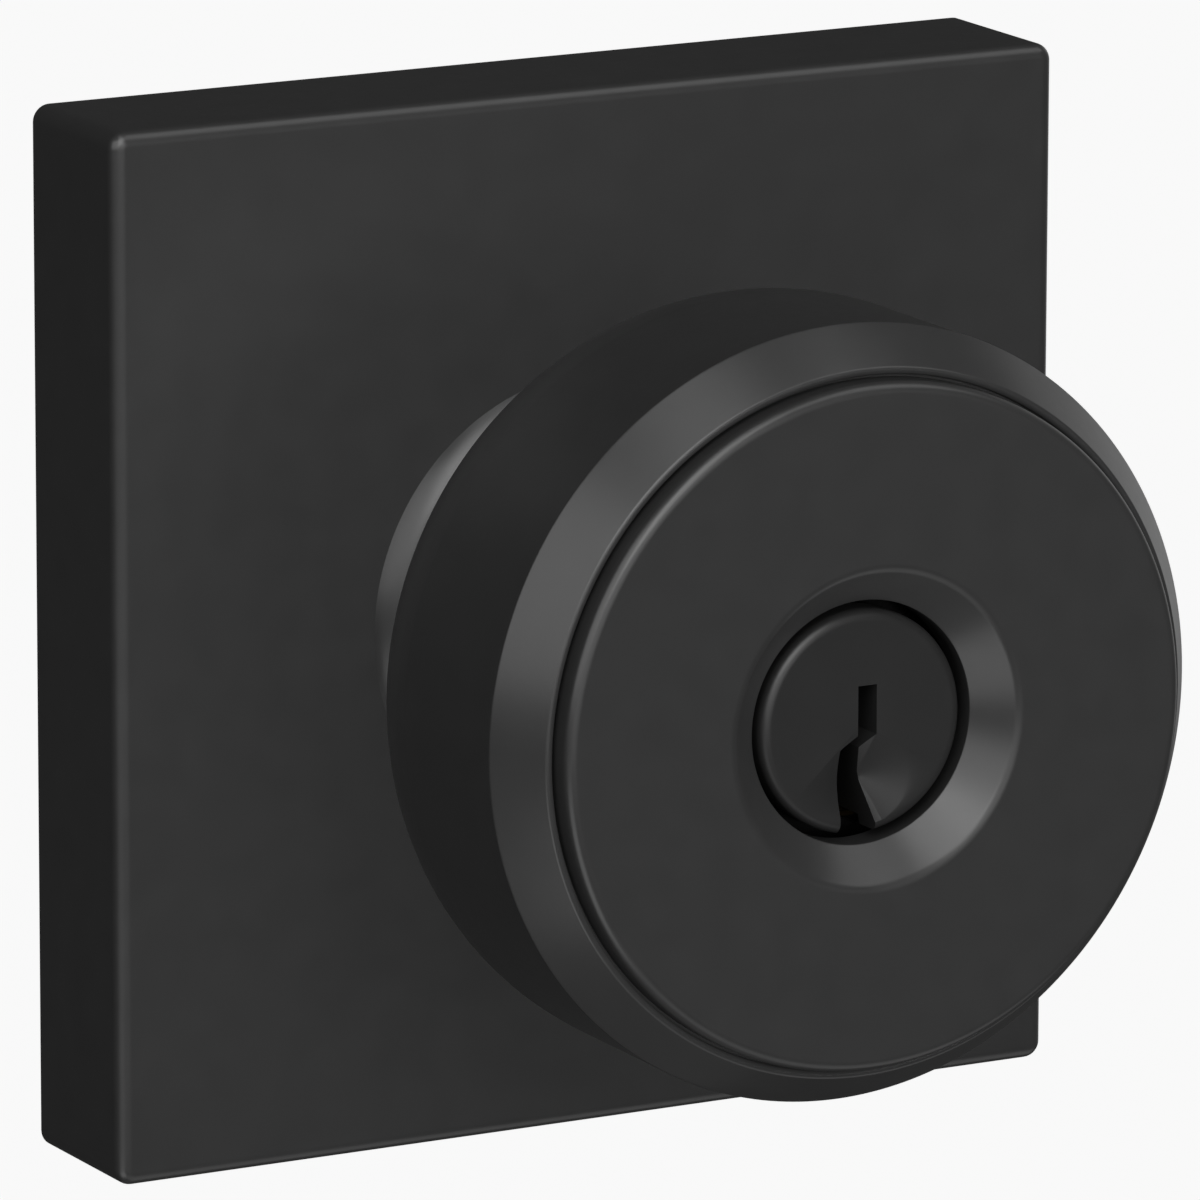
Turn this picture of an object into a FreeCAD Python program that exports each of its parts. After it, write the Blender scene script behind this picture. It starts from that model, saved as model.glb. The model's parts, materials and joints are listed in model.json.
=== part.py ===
import FreeCAD
import Part
import math
import os

# Keyed door knob on a square rose: the outside half of the set, as it is fitted to a door.
# Millimetres. X points right, Y points into the door, Z points up. The origin is on the knob's
# axis, in the plane of the door's face. A depth counts out of the door, so y = -depth.

# ---- Clearances ----
RUN_GAP = 0.06          # radial, between pieces that turn in each other
SLIP_GAP = 0.05         # radial or per side, between pieces that are assembled and stay put
FACE_GAP = 0.1          # axial, between faces that rub or nearly touch
FREE_GAP = 0.3          # between pieces that move and never touch

# ---- Rose ----
ROSE_SIDE = 67.0
ROSE_DEPTH = 11.3
ROSE_WALL = 1.5
ROSE_CORNER_R = 1.1     # upright corners
ROSE_EDGE_R = 0.9       # around the front face
COLLAR_LIP = 0.2        # flat rim around the rose's bore
COLLAR_SPREAD = 3.0     # from the lip out to the collar's foot
COLLAR_TILT = 60.0      # degrees, of the collar's surface at its foot

# ---- Mounting plate and what is riveted to it ----
PLATE_BACK = 1.0        # set back from the door, so that the rose's rim bears first
PLATE_THICK = 1.6
PLATE_EDGE_GAP = 0.3
TAB_WIDTH = 14.0
TAB_THICK = 1.2
TAB_REACH = 7.4         # depth of the tabs' tips
CAGE_WALL = 1.4
CAGE_FLANGE_THICK = 1.2
CAGE_FLANGE_WIDTH = 2.0
CAGE_ROSE_GAP = 0.2
EAR_R = 3.0
RIVET_R = 1.2
RIVET_HEAD_R = 2.2
RIVET_HEAD_THICK = 0.8
RIVET_FOOT_THICK = 0.7
EAR_SET = 2.9           # rivets, outside the cage's wall

# ---- Stems ----
STEM_X = 19.0
STEM_R = 3.2
STEM_REACH = 20.0       # into the door
STEM_FLANGE_R = 4.8
STEM_FLANGE_THICK = 1.8
STEM_NECK_R = 2.6
STEM_HEAD_R = 3.6
STEM_HEAD_THICK = 0.8
THREAD_R = 1.65
THREAD_DEPTH = 16.5
THREAD_MOUTH = 0.4

# ---- Spindle tube and its bearings ----
TUBE_BORE_R = 7.0
TUBE_WALL = 1.9
TUBE_BACK = 0.5
BUSH_WALL = 1.34
BUSH_FLANGE_WIDTH = 1.2
BUSH_FLANGE_THICK = 0.6
WASHER_WIDTH = 2.7
WASHER_THICK = 0.6
RING_THICK = 0.85
RING_WIDTH = 2.4
RING_GROOVE = 0.75      # depth of the groove in the tube
RING_OPENING = 70.0     # degrees

# ---- Rotor, return spring and stops ----
ROTOR_HUB_WALL = 2.05
ROTOR_ARM_THICK = 0.8
ROTOR_TAB_THICK = 1.5
STOP_ARM_WIDTH = 6.0
SPRING_TAB_WIDTH = 3.0
SPRING_WIRE_R = 0.55
SPRING_HUB_GAP = 1.3
SPRING_TAB_GAP = 1.5
SPRING_TURNS = 2
SPRING_LEG_TAIL = 0.5
TAB_PASS_GAP = 0.9      # between the rotor's tab and the cage's tab
STOP_PIN_R = 1.3
STOP_PIN_FOOT_R = 1.0
KNOB_TURN = 60.0        # degrees either way

# ---- Drive spindle ----
SPINDLE_SIDE = 7.6
SPINDLE_BORE_R = 2.8
SPINDLE_REACH = 38.0
SPINDLE_TIP = 0.7
SPINDLE_PLUG = 3.0      # thickness of the round plug that holds the bar in the tube
SPINDLE_PLUG_SET = 0.5  # of the plug, inside the tube's end

# ---- Knob shell ----
KNOB_R = 24.2
KNOB_WALL = 1.5
KNOB_DRAFT = 0.08       # the rim is this much wider than the side's start
SLEEVE_WALL = 1.49
NECK_SET = 0.8          # of the neck's end, in front of the cage
NECK_LENGTH = 4.64      # from the rose's front to where the neck and the back meet
BACK_SLOPE = 50.0       # degrees off the axis
NECK_BLEND_R = 3.0
BACK_ROUND_R = 7.56
KNOB_REACH = 31.7       # from the rose's front to the bevel
BEVEL_RUN = 2.7
BEVEL_RISE = 3.85
BEVEL_EDGE_R = 0.3      # of the bevel's two edges
LEDGE_WIDTH = 1.7
LEDGE_THICK = 1.5

# ---- Face disc ----
DISC_THICK = 2.2
DISC_PROUD = 0.75       # of the bevel's inner edge
DISC_GAP = 0.18         # groove around the disc
DISC_EDGE_R = 0.7
DISH_R = 9.9
DISH_DEPTH = 2.1
DISH_EDGE_R = 0.8
BOSS_WALL = 3.5
BOSS_DEPTH = 4.1        # from the disc's front to the boss's end

# ---- Lock cylinder ----
PLUG_HEAD_R = 7.0
PLUG_HEAD_GAP = 0.6
PLUG_HEAD_THICK = 2.15
PLUG_HEAD_EDGE = 0.7
PLUG_SET = 2.0          # of the plug's face, behind the disc's front
PLUG_R = 6.35
CYLINDER_R = 8.2
CYLINDER_LENGTH = 22.7
BIBLE_WIDTH = 7.3
BIBLE_TOP = 13.0
COVER_THICK = 0.6
COVER_WIDTH = 6.3
COVER_INSET = 1.0
CRADLE_GAP = 0.15
CRADLE_WALL = 2.05
CRADLE_FLANGE_THICK = 1.4

# ---- Pins ----
PIN_COUNT = 5
FIRST_PIN = 4.5         # behind the cylinder's front
PIN_PITCH = 3.97
PIN_R = 1.42
KEY_PIN_LENGTHS = (5.0, 6.4, 5.4, 6.9, 5.8)
KEY_PIN_TIP = 0.7
KEY_PIN_SINK = 0.2      # of the pins' tops, under the plug's crown
DRIVER_LENGTH = 3.2
PIN_HOLE_REST = 0.45    # below the longest pin
PIN_SPRING_WIRE_R = 0.15
PIN_SPRING_COILS = 5

# ---- Keyway, seen from the front: x to the right, z up ----
KEY_SLOT_LEFT = -0.27
KEY_SLOT_RIGHT = 1.03
KEY_SLOT_TOP = 2.3
KEY_STEP = -0.8         # where the keyway shifts to the left
KEY_WAIST = 0.0         # where its right wall starts, below that
KEY_FOOT_LEFT = -1.45
KEY_FOOT_RIGHT = 1.33
KEYWAY_REST = 0.8       # solid metal behind the keyway
POCKET_X = 0.33
POCKET_Z = -3.6
POCKET_R = 2.85
POCKET_DEPTH = 1.2
POCKET_FLOOR_R = 0.3

# ---- Plug cap and tailpiece ----
STUB_R = 5.2
STUB_LENGTH = 1.8
CAP_WALL = 1.95
CAP_LENGTH = 3.65
CAP_END = 0.8
CAP_HOLE_R = 2.7
TAIL_FLANGE_R = 4.8
TAIL_WIDTH = 4.8
TAIL_THICK = 1.2
TAIL_REACH = 36.0

# ---- Knob catch and its spring ----
CATCH_SET = 3.7         # in front of the neck's end
CATCH_R = 1.5
CATCH_FLANGE_R = 2.2
CATCH_FLANGE_THICK = 0.7
POKE_HOLE_R = 0.8
LEAF_WIDTH = 3.0
LEAF_THICK = 0.3
LEAF_FOOT = 3.5
LEAF_SLOPE = 3.0
LEAF_TIP = 2.0

# ---- Places along the axis, as depths ----
PLATE_FRONT = PLATE_BACK + PLATE_THICK
ROSE_INSIDE = ROSE_DEPTH - ROSE_WALL
CAGE_FRONT = ROSE_INSIDE - CAGE_ROSE_GAP
CAGE_INSIDE = CAGE_FRONT - CAGE_WALL
ROTOR_FRONT = CAGE_INSIDE - BUSH_FLANGE_THICK - FACE_GAP
ROTOR_ARM_BACK = ROTOR_FRONT - ROTOR_ARM_THICK
RING_BACK = PLATE_FRONT + FREE_GAP
RING_FRONT = RING_BACK + RING_THICK
NECK_BACK = CAGE_FRONT + NECK_SET
BACK_START = ROSE_DEPTH + NECK_LENGTH
BACK_TAN = math.tan(math.radians(BACK_SLOPE))

# ---- Radii of the nested tubes, from the axis outwards ----
TUBE_R = TUBE_BORE_R + TUBE_WALL
SLEEVE_BORE_R = TUBE_R + RUN_GAP
SLEEVE_R = SLEEVE_BORE_R + SLEEVE_WALL
NECK_BORE_R = SLEEVE_R + SLIP_GAP
NECK_R = NECK_BORE_R + KNOB_WALL
ROSE_BORE_R = NECK_R + FREE_GAP
BUSH_R = SLEEVE_BORE_R + BUSH_WALL
ROTOR_HUB_R = TUBE_R + SLIP_GAP + ROTOR_HUB_WALL
SPRING_R = ROTOR_HUB_R + SPRING_HUB_GAP + SPRING_WIRE_R
ROTOR_TAB_R = SPRING_R + SPRING_WIRE_R + SPRING_TAB_GAP
ROTOR_R = ROTOR_TAB_R + ROTOR_TAB_THICK
CAGE_TAB_R = ROTOR_R + TAB_PASS_GAP
CAGE_BORE_R = max(STEM_X + STEM_HEAD_R, CAGE_TAB_R + ROTOR_TAB_THICK + SPRING_LEG_TAIL) + FREE_GAP
CAGE_R = CAGE_BORE_R + CAGE_WALL
RIVET_CIRCLE_R = CAGE_R + EAR_SET

# ---- The knob, from its back to its face ----
SIDE_START = BACK_START + (KNOB_R - NECK_R) / BACK_TAN
RIM = ROSE_DEPTH + KNOB_REACH
RIM_R = KNOB_R + KNOB_DRAFT
OPENING = RIM + BEVEL_RISE
OPENING_R = RIM_R - BEVEL_RUN
DISC_R = OPENING_R - DISC_GAP
DISC_FRONT = OPENING + DISC_PROUD
DISC_BACK = DISC_FRONT - DISC_THICK
LEDGE_R = OPENING_R - LEDGE_WIDTH
LEDGE_BACK = DISC_BACK - LEDGE_THICK
BORE_R = PLUG_HEAD_R + PLUG_HEAD_GAP
BOSS_R = BORE_R + BOSS_WALL
BOSS_BACK = DISC_FRONT - BOSS_DEPTH

# ---- The lock cylinder, from its face to its tail ----
PLUG_FACE = DISC_FRONT - PLUG_SET
PLUG_SHOULDER = PLUG_FACE - PLUG_HEAD_THICK
CYLINDER_FRONT = min(PLUG_SHOULDER - SLIP_GAP, BOSS_BACK - FACE_GAP)
CYLINDER_BACK = CYLINDER_FRONT - CYLINDER_LENGTH
PLUG_BORE_R = PLUG_R + SLIP_GAP
CHAMBER_R = PIN_R + RUN_GAP
PIN_HOLE_END = PLUG_R - KEY_PIN_SINK - max(KEY_PIN_LENGTHS) - PIN_HOLE_REST
CAP_FRONT = CYLINDER_BACK - FACE_GAP
CAP_BACK = CAP_FRONT - CAP_LENGTH
CAP_FLOOR = CAP_BACK + CAP_END
CAP_BORE_R = STUB_R + SLIP_GAP
CAP_R = CAP_BORE_R + CAP_WALL
STUB_BACK = CYLINDER_BACK - STUB_LENGTH
TAIL_FLANGE_FRONT = STUB_BACK - SLIP_GAP
TAIL_FLANGE_BACK = CAP_FLOOR + FACE_GAP
CRADLE_R = BIBLE_TOP + COVER_THICK + CRADLE_GAP + CRADLE_WALL
CATCH_DEPTH = NECK_BACK + CATCH_SET
SPINDLE_BACK = -SPINDLE_REACH
TAIL_BACK = -TAIL_REACH


def shell_inside(radius):
    """Depth at which the inside of the knob's sloping back has this radius."""
    shift = KNOB_WALL / math.cos(math.radians(BACK_SLOPE))
    return BACK_START + (radius + shift - NECK_R) / BACK_TAN


CRADLE_BACK = max(shell_inside(CRADLE_R + SLIP_GAP), CYLINDER_BACK)
SLEEVE_FRONT = shell_inside(CRADLE_R + SLIP_GAP) - 2 * FREE_GAP
TUBE_FRONT = min(CAP_BACK - FREE_GAP, SLEEVE_FRONT)


# ---- Shape helpers ----
def on_axis(radius, depth):
    """A point of a turned outline, which is drawn to the right of the axis."""
    return FreeCAD.Vector(radius, -depth, 0)


def front_view(x, z):
    """A point of an outline that is drawn as seen from the front."""
    return FreeCAD.Vector(x, 0, z)


def side_view(depth, z):
    """A point of an outline that is drawn as seen from the side."""
    return FreeCAD.Vector(0, -depth, z)


def outline(points, place):
    """A closed face through the points. A third value in a point rounds that corner."""
    places = [place(point[0], point[1]) for point in points]
    count = len(places)
    corners = []
    for index, here in enumerate(places):
        radius = points[index][2] if len(points[index]) > 2 else 0
        back = (places[index - 1] - here).normalize()
        ahead = (places[(index + 1) % count] - here).normalize()
        if radius == 0:
            corners.append((here, None, here))
            continue
        half = back.getAngle(ahead) / 2
        inward = (back + ahead).normalize()
        middle = here + inward * (radius / math.sin(half) - radius)
        reach = radius / math.tan(half)
        corners.append((here + back * reach, middle, here + ahead * reach))
    edges = []
    for index, (enter, middle, leave) in enumerate(corners):
        if middle is not None:
            edges.append(Part.Arc(enter, middle, leave).toShape())
        following = corners[(index + 1) % count][0]
        if leave.distanceToPoint(following) > 1e-6:
            edges.append(Part.LineSegment(leave, following).toShape())
    return Part.Face(Part.Wire(edges))


def turned(points):
    """A solid turned about the knob's axis from (radius, depth) points."""
    return outline(points, on_axis).revolve(front_view(0, 0), FreeCAD.Vector(0, 1, 0), 360)


def ring(inner, outer, back, front):
    return turned([(inner, back), (outer, back), (outer, front), (inner, front)])


def rod(radius, back, front, x=0, z=0):
    """A round bar along the axis."""
    return Part.makeCylinder(radius, front - back, FreeCAD.Vector(x, -back, z), FreeCAD.Vector(0, -1, 0))


def upright(radius, bottom, top, depth):
    """A round bar along Z, on the middle plane."""
    return Part.makeCylinder(radius, top - bottom, FreeCAD.Vector(0, -depth, bottom))


def block(left, right, back, front, bottom, top):
    corner = FreeCAD.Vector(left, -front, bottom)
    return Part.makeBox(right - left, front - back, top - bottom, corner)


def prism(points, back, front):
    """A bar along the axis with an outline given as seen from the front."""
    flat = outline(points, front_view)
    flat.translate(FreeCAD.Vector(0, -back, 0))
    return flat.extrude(FreeCAD.Vector(0, back - front, 0))


def square(side, corner=0):
    half = side / 2
    return [(-half, -half, corner), (half, -half, corner), (half, half, corner), (-half, half, corner)]


def polar(shape, angle):
    """A copy turned about the knob's axis, anticlockwise as seen from the front."""
    copy = shape.copy()
    copy.rotate(FreeCAD.Vector(0, 0, 0), FreeCAD.Vector(0, -1, 0), angle)
    return copy


def joined(shapes):
    return shapes[0].fuse(shapes[1:]).removeSplitter()


def coil(radius, wire_r, pitch, turns):
    """A helical wire about Z that starts on +X at height 0."""
    path = Part.makeLongHelix(pitch, pitch * turns, radius)
    section = Part.makeCircle(wire_r, FreeCAD.Vector(radius, 0, 0), FreeCAD.Vector(0, 1, 0))
    return Part.Wire(path).makePipeShell([Part.Wire(section)], True, True)


def along_axis(shape, depth):
    """Turns a shape made about Z so that its Z runs out of the door, from this depth."""
    shape.rotate(FreeCAD.Vector(0, 0, 0), FreeCAD.Vector(1, 0, 0), 90)
    shape.translate(FreeCAD.Vector(0, -depth, 0))
    return shape


def pin_depths():
    return [CYLINDER_FRONT - FIRST_PIN - PIN_PITCH * index for index in range(PIN_COUNT)]


def rivet_places():
    reach = RIVET_CIRCLE_R * math.sqrt(0.5)
    return [(reach, reach), (-reach, reach), (-reach, -reach), (reach, -reach)]


def stop_places():
    """The stop pins stand where the rotor's arm meets them at the end of the knob's turn."""
    circle = (ROTOR_TAB_R + ROTOR_R) / 2
    offset = STOP_ARM_WIDTH / 2 + STOP_PIN_R + FACE_GAP
    angle = math.radians(KNOB_TURN) + math.asin(offset / circle)
    return [(side * circle * math.sin(angle), -circle * math.cos(angle)) for side in (-1, 1)]


# ---- The fixed pieces ----
def rose_cover():
    inner_side = ROSE_SIDE - 2 * ROSE_WALL
    shell = prism(square(ROSE_SIDE, ROSE_CORNER_R), 0, ROSE_DEPTH)
    front_edges = [edge for edge in shell.Edges if edge.BoundBox.YMax < -ROSE_DEPTH + 0.01]
    shell = shell.makeFillet(ROSE_EDGE_R, front_edges)
    shell = shell.cut(prism(square(inner_side), -1, ROSE_INSIDE))
    foot_r = ROSE_BORE_R + COLLAR_LIP + COLLAR_SPREAD
    top_r = ROSE_BORE_R + COLLAR_LIP
    tilt = math.radians(COLLAR_TILT)
    swell = COLLAR_SPREAD / math.sin(tilt)
    top = ROSE_DEPTH + swell * (1 - math.cos(tilt))
    foot = on_axis(foot_r, ROSE_DEPTH)
    crown = on_axis(top_r, top)
    bulge = on_axis(top_r + swell * math.sin(tilt / 2), top - swell * (1 - math.cos(tilt / 2)))
    edges = [
        Part.Arc(foot, bulge, crown).toShape(),
        Part.makePolygon([crown, on_axis(ROSE_BORE_R, top), on_axis(ROSE_BORE_R, ROSE_INSIDE)]),
        Part.makePolygon([on_axis(ROSE_BORE_R, ROSE_INSIDE), on_axis(foot_r, ROSE_INSIDE), foot]),
    ]
    collar = Part.Face(Part.Wire(edges)).revolve(front_view(0, 0), FreeCAD.Vector(0, 1, 0), 360)
    shell = shell.cut(rod(ROSE_BORE_R, 0, ROSE_DEPTH + 1))
    return joined([shell, collar])


def mounting_plate():
    inner_side = ROSE_SIDE - 2 * ROSE_WALL
    plate = prism(square(inner_side - 2 * PLATE_EDGE_GAP, ROSE_CORNER_R), PLATE_BACK, PLATE_FRONT)
    tab_outside = inner_side / 2 - SLIP_GAP
    half = TAB_WIDTH / 2
    tab = block(-half, half, PLATE_BACK, TAB_REACH, tab_outside - TAB_THICK, tab_outside)
    plate = joined([plate] + [polar(tab, 90 * step) for step in range(4)])
    holes = [rod(SLEEVE_BORE_R, 0, ROSE_DEPTH)]
    holes += [rod(STEM_NECK_R + SLIP_GAP, 0, ROSE_DEPTH, x) for x in (-STEM_X, STEM_X)]
    holes += [rod(RIVET_R + SLIP_GAP, 0, ROSE_DEPTH, x, z) for x, z in rivet_places()]
    holes += [rod(STOP_PIN_FOOT_R + SLIP_GAP, 0, ROSE_DEPTH, x, z) for x, z in stop_places()]
    return plate.cut(holes)


def spring_cage():
    flange_front = PLATE_FRONT + CAGE_FLANGE_THICK
    cup = rod(CAGE_R, PLATE_FRONT, CAGE_FRONT)
    flange = rod(CAGE_R + CAGE_FLANGE_WIDTH, PLATE_FRONT, flange_front)
    ears = [rod(EAR_R, PLATE_FRONT, flange_front, x, z) for x, z in rivet_places()]
    cage = joined([cup, flange] + ears).cut(rod(CAGE_BORE_R, 0, CAGE_INSIDE))
    half = SPRING_TAB_WIDTH / 2
    tab = block(-half, half, RING_BACK, CAGE_INSIDE, CAGE_TAB_R, CAGE_TAB_R + ROTOR_TAB_THICK)
    cage = joined([cage, tab])
    holes = [rod(BUSH_R + SLIP_GAP, 0, ROSE_DEPTH)]
    holes += [rod(RIVET_R + SLIP_GAP, 0, ROSE_DEPTH, x, z) for x, z in rivet_places()]
    return cage.cut(holes)


def cage_rivets():
    """Four rivets through the plate and the cage's ears, with domed heads in front."""
    flange_front = PLATE_FRONT + CAGE_FLANGE_THICK
    head_front = flange_front + RIVET_HEAD_THICK
    foot_back = PLATE_BACK - RIVET_FOOT_THICK
    rivet = turned([
        (0, foot_back),
        (RIVET_HEAD_R, foot_back),
        (RIVET_HEAD_R, PLATE_BACK),
        (RIVET_R, PLATE_BACK),
        (RIVET_R, flange_front),
        (RIVET_HEAD_R, flange_front),
        (RIVET_HEAD_R, head_front, RIVET_HEAD_THICK * 0.9),
        (0, head_front),
    ])
    return Part.makeCompound([rivet.translated(front_view(x, z)) for x, z in rivet_places()])


def spindle_bushing():
    return turned([
        (SLEEVE_BORE_R, CAGE_INSIDE - BUSH_FLANGE_THICK),
        (BUSH_R + BUSH_FLANGE_WIDTH, CAGE_INSIDE - BUSH_FLANGE_THICK),
        (BUSH_R + BUSH_FLANGE_WIDTH, CAGE_INSIDE),
        (BUSH_R, CAGE_INSIDE),
        (BUSH_R, CAGE_FRONT),
        (SLEEVE_BORE_R, CAGE_FRONT),
    ])


def stem(x):
    """A fixing stem, riveted to the plate, with a tapped hole that opens into the door."""
    bottom = THREAD_DEPTH - STEM_REACH
    shape = turned([
        (0, PLATE_FRONT + STEM_HEAD_THICK),
        (STEM_HEAD_R, PLATE_FRONT + STEM_HEAD_THICK, 0.4),
        (STEM_HEAD_R, PLATE_FRONT),
        (STEM_NECK_R, PLATE_FRONT),
        (STEM_NECK_R, PLATE_BACK),
        (STEM_FLANGE_R, PLATE_BACK),
        (STEM_FLANGE_R, PLATE_BACK - STEM_FLANGE_THICK),
        (STEM_R, PLATE_BACK - STEM_FLANGE_THICK),
        (STEM_R, -STEM_REACH),
        (THREAD_R + THREAD_MOUTH, -STEM_REACH),
        (THREAD_R, -STEM_REACH + THREAD_MOUTH),
        (THREAD_R, bottom),
        (0, bottom + THREAD_R / 2),
    ])
    return shape.translated(front_view(x, 0))


def stem_left():
    return stem(-STEM_X)


def stem_right():
    return stem(STEM_X)


def return_spring():
    """A torsion spring whose two legs stand either side of the rotor's and the cage's tabs."""
    back = RING_BACK + SPRING_WIRE_R
    front = ROTOR_ARM_BACK - FREE_GAP - SPRING_WIRE_R
    leg_x = SPRING_TAB_WIDTH / 2 + SPRING_WIRE_R + SLIP_GAP
    spread = math.degrees(math.asin(leg_x / SPRING_R))
    turns = SPRING_TURNS - spread / 180
    wire = along_axis(coil(SPRING_R, SPRING_WIRE_R, (front - back) / turns, turns), back)
    wire = polar(wire, 90 + spread)
    foot_z = math.sqrt(SPRING_R ** 2 - leg_x ** 2)
    tip_z = CAGE_TAB_R + ROTOR_TAB_THICK + SPRING_LEG_TAIL
    pieces = [wire]
    for x, depth in ((-leg_x, back), (leg_x, front)):
        elbow = FreeCAD.Vector(x, -depth, foot_z)
        pieces.append(Part.makeSphere(SPRING_WIRE_R, elbow))
        pieces.append(Part.makeCylinder(SPRING_WIRE_R, tip_z - foot_z, elbow))
    return pieces[0].fuse(pieces[1:])


def stop_pins():
    foot = PLATE_BACK + SLIP_GAP
    pin = turned([
        (0, foot),
        (STOP_PIN_FOOT_R, foot),
        (STOP_PIN_FOOT_R, PLATE_FRONT),
        (STOP_PIN_R, PLATE_FRONT),
        (STOP_PIN_R, CAGE_INSIDE),
        (0, CAGE_INSIDE),
    ])
    return Part.makeCompound([pin.translated(front_view(x, z)) for x, z in stop_places()])


# ---- The pieces that turn with the knob ----
def spindle_tube():
    groove_r = TUBE_R - RING_GROOVE
    tube = turned([
        (TUBE_BORE_R, TUBE_BACK),
        (TUBE_R, TUBE_BACK, 0.3),
        (TUBE_R, RING_BACK - SLIP_GAP),
        (groove_r, RING_BACK - SLIP_GAP),
        (groove_r, RING_FRONT + SLIP_GAP),
        (TUBE_R, RING_FRONT + SLIP_GAP),
        (TUBE_R, TUBE_FRONT, 0.3),
        (TUBE_BORE_R, TUBE_FRONT),
    ])
    return tube.cut(upright(CATCH_R + RUN_GAP, -TUBE_R - 1, 0, CATCH_DEPTH))


def drive_spindle():
    plug_back = TUBE_BACK + SPINDLE_PLUG_SET
    bar = prism(square(SPINDLE_SIDE), SPINDLE_BACK, plug_back)
    tip_edges = [edge for edge in bar.Edges if edge.BoundBox.YMin > SPINDLE_REACH - 0.01]
    bar = bar.makeChamfer(SPINDLE_TIP, tip_edges)
    plug_front = plug_back + SPINDLE_PLUG
    bar = joined([bar, rod(TUBE_BORE_R - SLIP_GAP, plug_back, plug_front)])
    return bar.cut(rod(SPINDLE_BORE_R, SPINDLE_BACK - 1, plug_front + 1))


def spring_rotor():
    """The hub on the tube, a tab at the top that turns the spring, and a stop arm below."""
    hub = ring(TUBE_R + SLIP_GAP, ROTOR_HUB_R, RING_FRONT + FACE_GAP, ROTOR_FRONT)
    half_tab = SPRING_TAB_WIDTH / 2
    half_stop = STOP_ARM_WIDTH / 2
    arms = [
        block(-half_tab, half_tab, ROTOR_ARM_BACK, ROTOR_FRONT, ROTOR_HUB_R - 1, ROTOR_R),
        block(-half_tab, half_tab, RING_BACK, ROTOR_FRONT, ROTOR_TAB_R, ROTOR_R),
        block(-half_stop, half_stop, ROTOR_ARM_BACK, ROTOR_FRONT, -ROTOR_R, 1 - ROTOR_HUB_R),
    ]
    return joined([hub] + arms)


def retaining_ring():
    whole = ring(TUBE_R - RING_GROOVE + SLIP_GAP, TUBE_R - RING_GROOVE + RING_WIDTH, RING_BACK, RING_FRONT)
    reach = 2 * TUBE_R
    half = math.radians(RING_OPENING / 2)
    corner_x = reach * math.sin(half)
    corner_z = reach * math.cos(half)
    opening = prism([(0, 0), (corner_x, corner_z), (-corner_x, corner_z)], 0, ROSE_DEPTH)
    return whole.cut(opening)


def thrust_washer():
    front = NECK_BACK - SLIP_GAP
    return ring(SLEEVE_BORE_R + SLIP_GAP, SLEEVE_BORE_R + WASHER_WIDTH, front - WASHER_THICK, front)


def knob_sleeve():
    sleeve = ring(SLEEVE_BORE_R, SLEEVE_R, NECK_BACK, SLEEVE_FRONT)
    return sleeve.cut(upright(CATCH_R + RUN_GAP, -SLEEVE_R - 1, 0, CATCH_DEPTH))


def knob_body():
    """The hollow knob, closed in front by the face disc. Its neck runs through the rose."""
    inside_r = KNOB_R - KNOB_WALL
    inner_round = max(BACK_ROUND_R - KNOB_WALL, KNOB_WALL)
    body = turned([
        (NECK_BORE_R, NECK_BACK),
        (NECK_R, NECK_BACK, 0.3),
        (NECK_R, BACK_START, NECK_BLEND_R),
        (KNOB_R, SIDE_START, BACK_ROUND_R),
        (RIM_R, RIM, BEVEL_EDGE_R),
        (OPENING_R, OPENING, BEVEL_EDGE_R),
        (OPENING_R, DISC_BACK),
        (LEDGE_R, DISC_BACK),
        (LEDGE_R, LEDGE_BACK),
        (inside_r, LEDGE_BACK - (inside_r - LEDGE_R)),
        (inside_r, shell_inside(inside_r), inner_round),
        (NECK_BORE_R, shell_inside(NECK_BORE_R)),
    ])
    return body.cut(upright(POKE_HOLE_R, -NECK_R - 1, 0, CATCH_DEPTH))


def knob_face():
    """The face disc, with the dish and the bore around the lock cylinder."""
    return turned([
        (BORE_R, BOSS_BACK),
        (BOSS_R, BOSS_BACK),
        (BOSS_R, DISC_BACK),
        (DISC_R, DISC_BACK),
        (DISC_R, DISC_FRONT, DISC_EDGE_R),
        (DISH_R, DISC_FRONT, DISH_EDGE_R),
        (BORE_R, DISC_FRONT - DISH_DEPTH),
    ])


def cylinder_cradle():
    """A casting that fills the knob around the lock cylinder and centres it."""
    flange_front = DISC_BACK - SLIP_GAP
    flange_r = LEDGE_R - CRADLE_GAP
    body = turned([
        (0, CRADLE_BACK),
        (CRADLE_R, CRADLE_BACK),
        (CRADLE_R, flange_front - CRADLE_FLANGE_THICK),
        (flange_r, flange_front - CRADLE_FLANGE_THICK),
        (flange_r, flange_front),
        (0, flange_front),
    ])
    half = BIBLE_WIDTH / 2 + CRADLE_GAP
    top = BIBLE_TOP + COVER_THICK + CRADLE_GAP
    cuts = [
        rod(CYLINDER_R + CRADLE_GAP, CRADLE_BACK - 1, flange_front + 1),
        block(-half, half, CRADLE_BACK - 1, flange_front + 1, 0, top),
        rod(BOSS_R + CRADLE_GAP, CYLINDER_FRONT, flange_front + 1),
    ]
    return body.cut(cuts)


def cylinder_body():
    """The round housing of the plug, with the raised block that holds the pins above it."""
    half = BIBLE_WIDTH / 2
    body = rod(CYLINDER_R, CYLINDER_BACK, CYLINDER_FRONT)
    bible = block(-half, half, CYLINDER_BACK, CYLINDER_FRONT, 0, BIBLE_TOP)
    cuts = [rod(PLUG_BORE_R, CYLINDER_BACK - 1, CYLINDER_FRONT + 1)]
    cuts += [upright(CHAMBER_R, 0, BIBLE_TOP + 1, depth) for depth in pin_depths()]
    return joined([body, bible]).cut(cuts)


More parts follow.
